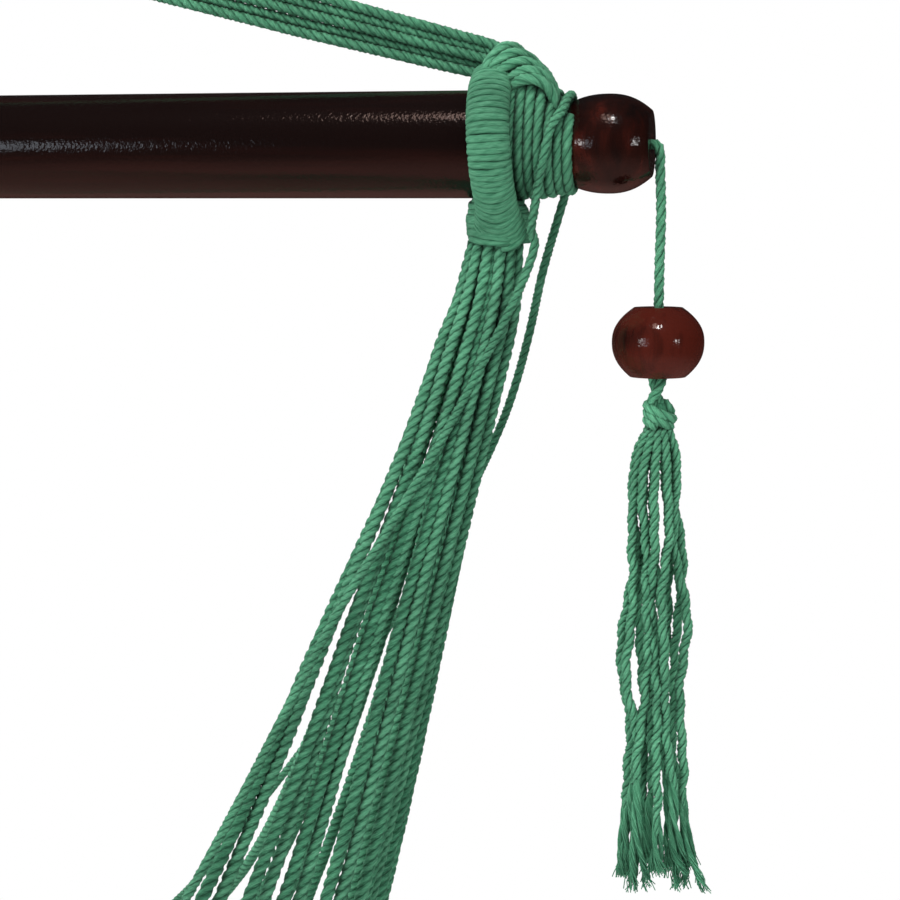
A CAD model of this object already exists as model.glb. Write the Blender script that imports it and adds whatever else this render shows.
"""The looks of a hanging rope hammock chair, dressed over its CAD frame.

Sizes are in millimetres about the middle of the spreader bar, as in the part's own source, and
become metres in the part's frame, whose origin is at the top of the hanging loop, when a mesh is made.
"""

import logging
import math
from dataclasses import dataclass, field
from enum import Enum
from typing import Callable, Sequence

import bmesh
import bpy
import numpy as np
from mathutils import Matrix, Vector


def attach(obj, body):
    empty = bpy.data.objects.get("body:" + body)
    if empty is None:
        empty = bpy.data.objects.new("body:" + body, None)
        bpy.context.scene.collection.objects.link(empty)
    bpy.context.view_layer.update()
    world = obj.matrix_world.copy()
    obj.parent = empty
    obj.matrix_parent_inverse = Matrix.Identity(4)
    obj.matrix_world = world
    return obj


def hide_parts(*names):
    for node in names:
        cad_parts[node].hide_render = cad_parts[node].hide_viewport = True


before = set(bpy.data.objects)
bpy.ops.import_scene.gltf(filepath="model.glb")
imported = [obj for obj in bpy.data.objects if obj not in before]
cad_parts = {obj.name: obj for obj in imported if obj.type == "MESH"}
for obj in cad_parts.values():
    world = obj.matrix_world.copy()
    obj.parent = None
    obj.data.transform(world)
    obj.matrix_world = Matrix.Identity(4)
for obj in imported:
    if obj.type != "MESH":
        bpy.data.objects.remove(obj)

LOG = logging.getLogger("hammock_chair")
MILLIMETRE = 0.001
HOOK_HEIGHT = 225.0
FULL_TURN = 2 * math.pi
Socket = bpy.types.NodeSocket
X_AXIS, Y_AXIS, Z_AXIS = np.eye(3)


class Side(Enum):
    """An end of the chair, with the sign of its X."""

    RIGHT = 1.0
    LEFT = -1.0

    @property
    def label(self) -> str:
        """The word for this end in the names of pieces and bodies."""
        return self.name.lower()


def mirror(path: Sequence, side: Side) -> np.ndarray:
    """Bring a right-hand path to an end of the chair."""
    return np.asarray(path, float) * np.array([side.value, 1.0, 1.0])


def unit(vectors: np.ndarray) -> np.ndarray:
    """Scale vectors in the last axis to length one."""
    length = np.linalg.norm(vectors, axis=-1, keepdims=True)
    return vectors / np.maximum(length, 1e-12)


def running_length(path: np.ndarray) -> np.ndarray:
    """Measure the distance along a path to each of its points."""
    return np.concatenate([[0], np.cumsum(np.linalg.norm(np.diff(path, axis=0), axis=1))])


def sample(share: np.ndarray, marks: np.ndarray, points: np.ndarray) -> np.ndarray:
    """Read points between marked ones, along straight lines.

    Args:
        share: Where to read.
        marks: The places of the marked points.
        points: The marked points.

    Returns:
        A point for each share.
    """
    return np.stack([np.interp(share, marks, points[:, k]) for k in range(3)], axis=1)


def even_steps(points: np.ndarray, step: float) -> np.ndarray:
    """Mark off a polyline in even steps.

    Args:
        points: The polyline's points.
        step: The wanted distance between the points of the result.

    Returns:
        Points at even distances along the polyline, its two ends among them.
    """
    reach = running_length(points)
    count = max(int(round(reach[-1] / step)), 2)
    return sample(np.linspace(0, reach[-1], count + 1), reach, points)


def smooth_path(points: Sequence, step: float) -> np.ndarray:
    """Draw a Catmull-Rom curve through points and mark it off in even steps.

    Args:
        points: Control points, in millimetres.
        step: The wanted distance between the points of the result.

    Returns:
        Points at even distances along the curve.
    """
    control = np.asarray(points, float)
    ends = np.vstack([2 * control[0] - control[1], control, 2 * control[-1] - control[-2]])
    share = np.linspace(0, 1, 24, endpoint=False)[:, None]
    before, start, stop, after = (ends[i : len(ends) - 3 + i, None] for i in range(4))
    curve = 0.5 * (
        2 * start
        + (stop - before) * share
        + (2 * before - 5 * start + 4 * stop - after) * share**2
        + (3 * start - before - 3 * stop + after) * share**3
    )
    return even_steps(np.vstack([curve.reshape(-1, 3), control[-1:]]), step)


def carried_frames(path: np.ndarray, hint: np.ndarray | None = None) -> tuple[np.ndarray, np.ndarray]:
    """Give a path two directions square to it that turn as little as possible.

    Args:
        path: Points along the path.
        hint: A direction that is never along the path, or one for each point. Without one the
            directions are carried from point to point.

    Returns:
        The two directions at each point.
    """
    along = unit(np.gradient(path, axis=0))
    if hint is not None:
        first = np.broadcast_to(hint, along.shape)
        first = unit(first - along * np.sum(first * along, axis=1, keepdims=True))
        return first, np.cross(along, first)
    first = np.zeros_like(along)
    side = X_AXIS if abs(along[0][0]) < 0.7 else Y_AXIS
    for i, direction in enumerate(along):
        side = side - direction * float(side @ direction)
        side = side / math.sqrt(float(side @ side))
        first[i] = side
    return first, np.cross(along, first)


def ring_points(path: np.ndarray, first: np.ndarray, second: np.ndarray,
                across: np.ndarray, up: np.ndarray) -> np.ndarray:
    """Set a ring of points round each point of a path.

    Args:
        path: The rings' middles.
        first: A direction square to the path at each middle.
        second: The direction square to both.
        across: How far each point lies along the first direction, rings by points.
        up: How far each point lies along the second direction, rings by points.

    Returns:
        The points, rings by points by three.
    """
    return path[:, None] + across[..., None] * first[:, None] + up[..., None] * second[:, None]


def ring_quads(rings: int, points: int) -> np.ndarray:
    """Number the corners of the faces between neighbouring rings.

    Args:
        rings: How many rings there are.
        points: How many points each ring has.

    Returns:
        The four corners of each face.
    """
    row = np.arange(rings - 1)[:, None] * points
    here = np.arange(points)
    after = (here + 1) % points
    a, b = row + here, row + after
    return np.stack([a, b, b + points, a + points], axis=-1).reshape(-1, 4)


def in_frame(points: np.ndarray) -> np.ndarray:
    """Turn millimetres about the bar's middle into metres in the part's frame."""
    return points * MILLIMETRE - np.array([0, 0, HOOK_HEIGHT * MILLIMETRE])


def add_object(name: str, data: bpy.types.ID) -> bpy.types.Object:
    """Put data in the scene as an object at the origin.

    Args:
        name: The object's name.
        data: A mesh, a light or a camera.

    Returns:
        The object.
    """
    thing = bpy.data.objects.new(name, data)
    bpy.context.scene.collection.objects.link(thing)
    return thing


class NodeTree:
    """Adds and links the nodes of a material, a group or the world."""

    def __init__(self, tree: bpy.types.NodeTree) -> None:
        """Wrap the tree that the nodes go into."""
        self.tree = tree

    def add(self, kind: str, values: dict | None = None, **settings: object) -> bpy.types.Node:
        """Add a node.

        Args:
            kind: The node's type name, without the word that they all start with.
            values: Input name or number to a value, or to a socket that is linked in.
            settings: The node's own properties.

        Returns:
            The node.
        """
        node = self.tree.nodes.new("ShaderNode" + kind)
        for name, value in settings.items():
            setattr(node, name, value)
        self.fill(node, values or {})
        return node

    def fill(self, node: bpy.types.Node, values: dict) -> None:
        """Set or link a node's inputs.

        Args:
            node: The node.
            values: Input name or number to a value, or to a socket that is linked in.
        """
        for key, value in values.items():
            if isinstance(value, Socket):
                self.tree.links.new(value, node.inputs[key])
            else:
                node.inputs[key].default_value = value

    def math(self, operation: str, *values: Socket | float) -> Socket:
        """Do a sum with values or sockets."""
        return self.add("Math", dict(enumerate(values)), operation=operation).outputs[0]

    def noise(self, place: Socket, scale: float, detail: float, **more: float) -> Socket:
        """Add soft noise.

        Args:
            place: Where it is read.
            scale: How fine it is.
            detail: How many finer layers it has.
            more: Other inputs of the noise, by their names in small letters.

        Returns:
            The noise, from 0 to 1.
        """
        values = {"Vector": place, "Scale": scale, "Detail": detail}
        values.update({key.capitalize(): value for key, value in more.items()})
        return self.add("TexNoise", values).outputs["Fac"]

    def stretch(self, place: Socket, scale: Sequence | Socket) -> Socket:
        """Scale a place along its axes."""
        return self.add("Mapping", {"Vector": place, "Scale": scale}).outputs["Vector"]

    def span(self, value: Socket, low: float, high: float,
             start: float, stop: float) -> Socket:
        """Map a value's range from low to high onto the one from start to stop."""
        return self.add("MapRange", {"Value": value, 1: low, 2: high, 3: start, 4: stop}).outputs["Result"]

    def bump(self, strength: float, distance: float, height: Socket, **below: Socket) -> Socket:
        """Raise a relief, over another one where a Normal is given."""
        values = {"Strength": strength, "Distance": distance, "Height": height, **below}
        return self.add("Bump", values).outputs["Normal"]

    def ramp(self, factor: Socket, stops: Sequence[tuple[float, tuple]],
             level: float = 1.0) -> Socket:
        """Add a colour ramp.

        Args:
            factor: What drives it.
            stops: Pairs of place and colour.
            level: A factor on the colours.

        Returns:
            The ramp's colour output.
        """
        node = self.add("ValToRGB", {"Fac": factor})
        elements = node.color_ramp.elements
        while len(elements) < len(stops):
            elements.new(0.5)
        for element, (place, colour) in zip(elements, stops):
            element.position = place
            element.color = (*(level * part for part in colour), 1.0)
        return node.outputs["Color"]


def new_material(name: str) -> tuple[bpy.types.Material, NodeTree, bpy.types.Node]:
    """Start a material.

    Args:
        name: Its name.

    Returns:
        The material, its nodes and its shader.
    """
    material = bpy.data.materials.new(name)
    material.use_nodes = True
    return material, NodeTree(material.node_tree), material.node_tree.nodes["Principled BSDF"]


def new_group(name: str, inputs: dict[str, str],
              outputs: Sequence[str]) -> tuple[NodeTree, dict[str, Socket], bpy.types.Node]:
    """Start a node group.

    Args:
        name: Its name.
        inputs: Input names to their socket types.
        outputs: Names of its outputs, which are all values.

    Returns:
        The group's nodes, its inputs inside by name, and the node that takes its outputs.
    """
    tree = bpy.data.node_groups.new(name, "ShaderNodeTree")
    for socket, kind in inputs.items():
        tree.interface.new_socket(socket, in_out="INPUT", socket_type=kind)
    for socket in outputs:
        tree.interface.new_socket(socket, in_out="OUTPUT", socket_type="NodeSocketFloat")
    given = tree.nodes.new("NodeGroupInput").outputs
    return NodeTree(tree), {socket: given[socket] for socket in inputs}, tree.nodes.new("NodeGroupOutput")


def fibre_group() -> bpy.types.NodeTree:
    """Make the group for the fibres and streaks that run along a cord, and its mottled dye.

    Returns:
        The group. Its shade grows with the crest that it is given, and its relief is for a bump.
    """
    nodes, given, result = new_group(
        "Fibres", {"Crest": "NodeSocketFloat"}, ("Shade", "Mottle", "Relief"))
    thread = nodes.add("UVMap", uv_map="UVMap").outputs["UV"]
    fibre = nodes.noise(nodes.stretch(thread, (420.0, 44.0, 1.0)), 1.0, 3.0)
    streak = nodes.noise(nodes.stretch(thread, (150.0, 11.0, 1.0)), 1.0, 2.0)
    jitter = nodes.math("MULTIPLY_ADD", fibre, 1.3, -0.65)
    streaky = nodes.math("MULTIPLY_ADD", streak, 0.7, jitter)
    nodes.fill(result, {
        "Shade": nodes.math("MULTIPLY_ADD", given["Crest"], 0.6, streaky),
        "Mottle": nodes.noise(nodes.add("TexCoord").outputs["Object"], 70.0, 3.0),
        "Relief": nodes.math("MULTIPLY_ADD", streak, 0.8, fibre),
    })
    return nodes.tree


def grain_group() -> bpy.types.NodeTree:
    """Make the group for wood whose stain lies in patches and along the grain, thinner low down.

    Returns:
        The group. Its stain is for a colour ramp, and its relief of pores and ripples for a bump.
    """
    stretches = {"Grain Stretch": "NodeSocketVector", "Patch Stretch": "NodeSocketVector"}
    nodes, given, result = new_group("Grain", stretches, ("Stain", "Relief"))
    place = nodes.add("TexCoord").outputs["Object"]
    grain = nodes.noise(nodes.stretch(place, given["Grain Stretch"]), 1.0, 5.0, roughness=0.6, distortion=0.3)
    patches = nodes.noise(nodes.stretch(place, given["Patch Stretch"]), 1.0, 2.0)
    total = nodes.math("MULTIPLY_ADD", patches, 1.05, nodes.math("MULTIPLY", grain, 0.4))
    height = nodes.add("SeparateXYZ", {"Vector": place}).outputs["Z"]
    pores, ripple = nodes.noise(place, 1100.0, 1.0), nodes.noise(place, 330.0, 2.0)
    nodes.fill(result, {
        "Stain": nodes.math("ADD", total, nodes.span(height, -0.27, -0.24, 0.02, -0.125)),
        "Relief": nodes.math("MULTIPLY_ADD", ripple, 0.5, pores),
    })
    return nodes.tree


@dataclass(frozen=True)
class Finish:
    """A made material and the CAD slot that it belongs to."""

    material: bpy.types.Material
    slot: str


@dataclass(frozen=True)
class CordFinish:
    """Dyed cotton cord.

    Attributes:
        name: The material's name.
        brightness: A factor on its colours.
        shadow: How much of its colour is left deep between cords.
        drawn_lay: Whether the plies are drawn by a wave, for cords whose mesh is round.
        slot: Its CAD slot.
    """

    name: str
    brightness: float
    shadow: float = 0.36
    drawn_lay: bool = False
    slot: str = "cord"

    STOPS = (
        (0.10, (0.009, 0.058, 0.031)),
        (0.45, (0.033, 0.138, 0.074)),
        (0.80, (0.058, 0.208, 0.114)),
        (1.0, (0.090, 0.272, 0.158)),
    )

    def make(self, fibres: bpy.types.NodeTree) -> Finish:
        """Make the material.

        Args:
            fibres: The group of fibre_group.

        Returns:
            The finish.
        """
        material, nodes, shader = new_material(self.name)
        if self.drawn_lay:
            crest = self.plies(nodes)
        else:
            crest = nodes.add("Attribute", attribute_name="crest").outputs["Fac"]
        group = nodes.add("Group", {"Crest": crest}, node_tree=fibres).outputs
        tone = nodes.span(group["Mottle"], 0.3, 0.7, 0.80, 1.18)
        open_share = nodes.add("AmbientOcclusion", {"Distance": 0.007}, samples=8).outputs["AO"]
        level = nodes.math("MULTIPLY", tone, nodes.span(open_share, 0.12, 0.8, self.shadow, 1.08))
        colour = nodes.ramp(group["Shade"], self.STOPS, self.brightness)
        normal = nodes.bump(0.8, 0.0006, group["Relief"])
        if self.drawn_lay:
            normal = nodes.bump(0.9, 0.0008, crest, Normal=normal)
        nodes.fill(shader, {
            "Base Color": nodes.add("HueSaturation", {"Color": colour, "Value": level}).outputs["Color"],
            "Roughness": 0.92,
            "Sheen Weight": 0.04,
            "Specular IOR Level": 0.08,
            "Normal": normal,
        })
        return Finish(material, self.slot)

    @staticmethod
    def plies(nodes: NodeTree) -> Socket:
        """Draw three plies: a power of a sine's size, over turns that grow with the length.

        Args:
            nodes: The material's nodes.

        Returns:
            The crest shade, from 0 in a groove to 1 on a ply.
        """
        place = nodes.add("SeparateXYZ", {"Vector": nodes.add("UVMap", uv_map="UVMap").outputs["UV"]}).outputs
        turned = nodes.math("SUBTRACT", place["Y"], nodes.math("MULTIPLY", place["X"], 110.0))
        wave = nodes.math("SINE", nodes.math("MULTIPLY", turned, 3 * math.pi))
        return nodes.math("POWER", nodes.math("ABSOLUTE", wave), 0.6)


@dataclass(frozen=True)
class WoodFinish:
    """Stained wood under varnish.

    Attributes:
        name: The material's name, which is also its CAD slot's.
        grain: How finely the grain is drawn along each axis.
        patches: How finely the stain's patches are drawn along each axis.
        warmth: How much of the red wood shows through the stain, from 0 to 1.
        level: A factor on its colours.
    """

    name: str
    grain: tuple[float, float, float]
    patches: tuple[float, float, float]
    warmth: float
    level: float

    def make(self, grain: bpy.types.NodeTree) -> Finish:
        """Make the material.

        Args:
            grain: The group of grain_group.

        Returns:
            The finish.
        """
        material, nodes, shader = new_material(self.name)
        group = nodes.add("Group", node_tree=grain)
        nodes.fill(group, {"Grain Stretch": self.grain, "Patch Stretch": self.patches})
        warm = self.warmth
        stops = (
            (0.44, (0.0062, 0.0020, 0.0016)),
            (0.60, (0.0130 + 0.012 * warm, 0.0030 + 0.001 * warm, 0.0022)),
            (0.80, (0.0230 + 0.100 * warm, 0.0046 + 0.011 * warm, 0.0032 + 0.005 * warm)),
        )
        normal = nodes.bump(0.65, 0.00013, group.outputs["Relief"])
        nodes.fill(shader, {
            "Base Color": nodes.ramp(group.outputs["Stain"], stops, self.level),
            "Roughness": 0.6,
            "Specular IOR Level": 0.015,
            "Coat Weight": 0.85,
            "Coat Roughness": 0.12,
            "Normal": normal,
            "Coat Normal": normal,
        })
        return Finish(material, self.name)


class Palette:
    """Every finish of the chair."""

    def __init__(self) -> None:
        """Make the finishes."""
        fibres, grain = fibre_group(), grain_group()
        self.cord = CordFinish("cord", 1.14).make(fibres)
        self.net = CordFinish("net_cord", 1.1, drawn_lay=True).make(fibres)
        self.twine = CordFinish("twine", 1.06, shadow=0.66, slot="whipping").make(fibres)
        self.skirt = CordFinish("skirt_cord", 1.42, shadow=0.34).make(fibres)
        self.fray = CordFinish("fray", 2.1, shadow=0.6).make(fibres)
        self.bar = WoodFinish("bar_wood", (14.0, 420.0, 420.0), (5.0, 52.0, 52.0), 0.14, 0.78).make(grain)
        self.bead = WoodFinish("bead_wood", (420.0, 420.0, 14.0), (52.0, 52.0, 40.0), 0.7, 0.66).make(grain)


def settle(piece: bpy.types.Object, body: str, finish: Finish, *nodes: str) -> bpy.types.Object:
    """Finish a piece, tie it to its body and CAD nodes, and report it.

    Args:
        piece: The piece.
        body: The body that it moves with.
        finish: Its finish.
        nodes: The CAD nodes that it stands for.

    Returns:
        The piece.
    """
    piece.data.materials.append(finish.material)
    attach(piece, body)
    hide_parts(*nodes)
    LOG.info("%s: %d faces, moves with %s", piece.name, len(piece.data.polygons), body)
    return piece


@dataclass(frozen=True)
class Lay:
    """How a rope of three plies is laid: its thickness, its twist and the fineness of its mesh.

    Attributes:
        radius: The rope's outer radius in millimetres.
        pitch: The length of one full turn of its plies.
        rings_per_pitch: How many rings of vertices one turn gets.
        groove: The groove's radius as a share of the outer one.
    """

    radius: float
    pitch: float = 10.0
    rings_per_pitch: float = 6.5
    groove: float = 0.68

    PLIES = 3
    PLACES = (-0.84, -0.32, 0.32, 0.84, 1.0)

    @property
    def step(self) -> float:
        """The distance between rings in millimetres."""
        return self.pitch / self.rings_per_pitch

    def section(self) -> tuple[np.ndarray, np.ndarray, np.ndarray]:
        """Work out the outline square to the rope: on each ply the radius falls from the crest, at
        place 0, to the groove, at place 1, as the root of a cosine.

        Returns:
            The angle, the radius and the crest shade of each point of the outline.
        """
        places = np.array(self.PLACES)
        swell = np.cos(places * math.pi / 2) ** 0.5
        turns = FULL_TURN * np.arange(self.PLIES)[:, None] / self.PLIES
        angles = (turns + places * math.pi / self.PLIES).ravel()
        radii = np.tile(self.radius * (self.groove + (1 - self.groove) * swell), self.PLIES)
        crests = np.tile(np.clip(1.1 - np.abs(places) ** 6, 0.12, 0.95), self.PLIES)
        return angles, radii, crests


ARM_CORD = Lay(1.93, pitch=10.8, groove=0.77)
SUSPENSION_CORD = Lay(1.8, pitch=11.0, groove=0.78)
LASHING_CORD = Lay(1.7, pitch=13.0, rings_per_pitch=9, groove=0.78)
FOLD_CORD = Lay(1.85, pitch=16.0, rings_per_pitch=11, groove=0.8)
EDGE_CORD = Lay(1.52, groove=0.72)
NET_KNOT = Lay(3.1, pitch=11.0, rings_per_pitch=8)
TASSEL_CORD = Lay(1.66, pitch=12.0, rings_per_pitch=8)
KNOT_CORD = Lay(1.62, pitch=12.0, rings_per_pitch=9, groove=0.76)
STRAND_CORD = Lay(1.62, pitch=9.2, rings_per_pitch=8, groove=0.55)


@dataclass(frozen=True)
class Winding:
    """How a flat twine is wound round a core.

    Attributes:
        turns: How many turns it makes.
        halves: The winding's half sizes along the core's two directions, at the twine's middle.
        twine: Half the twine's width and half its thickness.
        seed: The seed of its unevenness.
        start: The angle of its start, in radians.
        drape: How far the turns near both ends sag between their sides, as a share of the length.
    """

    turns: int
    halves: tuple[float, float]
    twine: tuple[float, float]
    seed: int
    start: float = 0.0
    drape: float = 0.0

    STEPS = 28
    MARKS = 4
    DRAPED = 0.2
    SHIFT = 0.16
    BULGE = 0.16
    SWELL = 0.12


@dataclass
class TubeMesh:
    """Gathers many tubes into one mesh with crest shades and lengthwise coordinates."""

    vertices: list[np.ndarray] = field(default_factory=list)
    faces: list[np.ndarray] = field(default_factory=list)
    crests: list[np.ndarray] = field(default_factory=list)
    lengths: list[np.ndarray] = field(default_factory=list)
    rounds: list[np.ndarray] = field(default_factory=list)
    count: int = 0

    def add(self, rings: np.ndarray, crest: np.ndarray, length: np.ndarray, around: np.ndarray) -> None:
        """Add one tube, closed at both ends by fans.

        Args:
            rings: Vertices, rings by points by three.
            crest: The crest shade of each vertex, rings by points.
            length: The distance along the tube of each ring.
            around: The place round the tube of each point, from 0 to 1.
        """
        rows, points, _ = rings.shape
        self.vertices += [rings.reshape(-1, 3), rings[[0, -1]].mean(axis=1)]
        self.crests += [crest.reshape(-1), np.array([0.4, 0.4])]
        self.lengths += [np.repeat(length, points), length[[0, -1]]]
        self.rounds += [np.tile(around, rows), np.array([0.5, 0.5])]
        here = np.arange(points)
        after = (here + 1) % points
        first, last = self.count, self.count + (rows - 1) * points
        caps = self.count + rows * points
        start = np.stack([first + after, first + here, np.full(points, caps)], axis=-1)
        stop = np.stack([last + here, last + after, np.full(points, caps + 1)], axis=-1)
        self.faces += [self.count + ring_quads(rows, points), start, stop]
        self.count += rows * points + 2

    def rope(self, path: np.ndarray, lay: Lay, phase: float = 0.0, hint: np.ndarray | None = None,
             scale: np.ndarray | float = 1.0, tone: float = 1.0) -> None:
        """Add a laid rope: its lay's outline, carried along a path and turned once in each pitch.

        Args:
            path: Points along the rope, at the lay's own step.
            lay: How the rope is laid.
            phase: The turn of its plies at the start, in radians.
            hint: A direction for the section, as carried_frames takes it.
            scale: The rope's thickness against the lay's, for the whole rope or for each point.
            tone: A factor on its crest shades, under 1 for a darker rope.
        """
        angles, radii, crests = lay.section()
        length = running_length(path)
        turned = angles + (phase + FULL_TURN * length / lay.pitch)[:, None]
        size = radii * np.asarray(scale, float).reshape(-1, 1)
        rings = ring_points(path, *carried_frames(path, hint), size * np.cos(turned), size * np.sin(turned))
        shade = np.broadcast_to(np.clip(tone * crests, 0, 1.3), turned.shape)
        self.add(rings, shade, length, np.linspace(0, 1, len(angles), endpoint=False))

    def round_tube(self, path: np.ndarray, radius: np.ndarray | float, sides: int,
                   hint: np.ndarray | None = None, crest: float = 0.8) -> None:
        """Add a plain tube: a circle carried along a path.

        Args:
            path: Points along the tube.
            radius: Its radius, for the whole tube or for each point.
            sides: How many points each ring has.
            hint: A direction for the section, as carried_frames takes it.
            crest: The crest shade of the whole tube.
        """
        angles = np.linspace(0, FULL_TURN, sides, endpoint=False)
        size = np.asarray(radius, float).reshape(-1, 1)
        rings = ring_points(path, *carried_frames(path, hint), size * np.cos(angles), size * np.sin(angles))
        self.add(rings, np.full(rings.shape[:2], crest), running_length(path), angles / FULL_TURN)

    def ribbon(self, path: np.ndarray, outward: np.ndarray, halves: tuple[float, float],
               swell: np.ndarray) -> None:
        """Add a flattened twine of two laid yarns: an oval carried along a path, with a shallow
        parting that turns round it, shaded darkest between neighbours.

        Args:
            path: Points along the twine.
            outward: The direction away from what it is wound on, one for each point.
            halves: Half its width and half its thickness.
            swell: A factor on its size for each point.
        """
        sides, pitch = 14, 10.5
        out, side = carried_frames(path, outward)
        angles = np.linspace(0, FULL_TURN, sides, endpoint=False)
        length = running_length(path)
        turned = angles - (FULL_TURN / pitch) * length[:, None]
        parting = np.exp(-((np.sin(turned) / 0.34) ** 2))
        size = swell[:, None] * (1 - 0.13 * parting)
        across, up = size * halves[0] * np.cos(angles), size * halves[1] * np.sin(angles)
        rings = ring_points(path, side, out, across, up)
        shade = np.clip(1.5 * np.sin(angles) - 0.35, 0.1, 0.95) - 0.3 * parting * (np.sin(angles) > 0)
        self.add(rings, np.clip(shade, 0.05, 0.95), length, angles / FULL_TURN)

    def wind(self, core: Callable[[np.ndarray], tuple], how: Winding) -> None:
        """Wind a flat twine round a core: an oval spiral with small unevenness.

        Args:
            core: Gives points and two square directions at shares of the core's length.
            how: How the twine is wound.
        """
        random = np.random.default_rng(how.seed)
        share = np.linspace(0, 1, how.turns * how.STEPS + 1)
        marks = np.linspace(0, 1, how.turns * how.MARKS + 2)
        uneven, bulge, swell = (np.interp(share, marks, random.uniform(-1, 1, len(marks))) for _ in range(3))
        angle = how.start + FULL_TURN * how.turns * share
        ends = np.clip(1 - share / how.DRAPED, 0, 1) - np.clip((share - 1 + how.DRAPED) / how.DRAPED, 0, 1)
        lift = how.drape * ends * np.sin(angle) ** 2
        point, first, second = core(np.clip(share + how.SHIFT * uneven / how.turns + lift, 0, 1))
        across, up = np.cos(angle)[:, None], np.sin(angle)[:, None]
        wide = how.halves[0] + how.BULGE * (1 + bulge[:, None])
        path = point + wide * across * first + how.halves[1] * up * second
        out = unit(across / how.halves[0] * first + up / how.halves[1] * second)
        self.ribbon(path, out, how.twine, 1 + how.SWELL * swell)

    def place(self, name: str, body: str, finish: Finish, *nodes: str) -> bpy.types.Object:
        """Make the gathered tubes one piece, in metres in the part's frame.

        Args:
            name: The piece's name.
            body: The body that it moves with.
            finish: Its finish.
            nodes: The CAD nodes that it stands for.

        Returns:
            The piece.
        """
        vertices = in_frame(np.concatenate(self.vertices))
        sizes = np.concatenate([np.full(len(faces), faces.shape[1]) for faces in self.faces])
        corner = np.concatenate([faces.reshape(-1) for faces in self.faces])
        mesh = bpy.data.meshes.new(name)
        mesh.vertices.add(len(vertices))
        mesh.vertices.foreach_set("co", vertices.astype(np.float32).ravel())
        mesh.loops.add(len(corner))
        mesh.loops.foreach_set("vertex_index", corner.astype(np.int32))
        mesh.polygons.add(len(sizes))
        starts = np.concatenate([[0], np.cumsum(sizes)[:-1]])
        mesh.polygons.foreach_set("loop_start", starts.astype(np.int32))
        mesh.update(calc_edges=True)
        mesh.validate()
        crest = mesh.attributes.new("crest", "FLOAT", "POINT")
        crest.data.foreach_set("value", np.concatenate(self.crests).astype(np.float32))
        lengths, rounds = np.concatenate(self.lengths), np.concatenate(self.rounds)
        layer = mesh.uv_layers.new(name="UVMap")
        place = np.stack([lengths[corner] * MILLIMETRE, rounds[corner]], axis=-1)
        layer.data.foreach_set("uv", place.astype(np.float32).ravel())
        mesh.polygons.foreach_set("use_smooth", np.ones(len(sizes), bool))
        return settle(add_object(name, mesh), body, finish, *nodes)


def lathe(name: str, profile: Sequence[tuple[float, float]], centre: Sequence[float],
          axis: np.ndarray) -> bpy.types.Object:
    """Turn a closed profile about an axis: a circle of the profile's radius at each of its points.

    Args:
        name: The object's name.
        profile: Pairs of distance along the axis and radius, round the solid's outline.
        centre: The point on the axis where distances start, in millimetres.
        axis: The axis's direction.

    Returns:
        The turned object, with its doubles merged and its faces pointing outwards.
    """
    sides = 96
    first = unit(np.cross(axis, Y_AXIS if abs(axis[1]) < 0.7 else X_AXIS))
    angles = np.linspace(0, FULL_TURN, sides, endpoint=False)
    along, radii = np.asarray(profile, float).T[..., None]
    middle = np.asarray(centre, float) + along * axis
    across, up = radii * np.cos(angles), radii * np.sin(angles)
    rings = ring_points(middle, first[None], np.cross(axis, first)[None], across, up)
    mesh = bpy.data.meshes.new(name)
    mesh.from_pydata(in_frame(rings.reshape(-1, 3)).tolist(), [], ring_quads(len(along), sides).tolist())
    solid = bmesh.new()
    solid.from_mesh(mesh)
    bmesh.ops.remove_doubles(solid, verts=solid.verts, dist=1e-7)
    bmesh.ops.recalc_face_normals(solid, faces=solid.faces)
    solid.to_mesh(mesh)
    solid.free()
    mesh.polygons.foreach_set("use_smooth", np.ones(len(mesh.polygons), bool))
    mesh.set_sharp_from_angle(angle=math.radians(35))
    return add_object(name, mesh)


def bead_profile(width: float, radius: float, low_face: float, high_face: float,
                 bore: float) -> list[tuple[float, float]]:
    """Outline a barrel-shaped bead: its radius falls from the middle to each flat face by the
    distance's power of 2.3, and its bore has small rims.

    Args:
        width: The bead's length along its bore.
        radius: Its largest radius.
        low_face: The radius of the flat face at distance 0.
        high_face: The radius of the flat face at the other end.
        bore: The bore's radius.

    Returns:
        Pairs of distance along the bore and radius, in a closed round.
    """
    rim = 0.5
    share = np.sin(np.linspace(-1, 1, 37) * math.pi / 2)
    face = np.where(share < 0, low_face, high_face)
    reach = face + (radius - face) * (1 - np.abs(share) ** 2.3)
    outside = list(zip(width * (share + 1) / 2, reach))
    return outside + [(width, bore + rim), (width - rim, bore), (rim, bore), (0.0, bore + rim), outside[0]]


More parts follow.
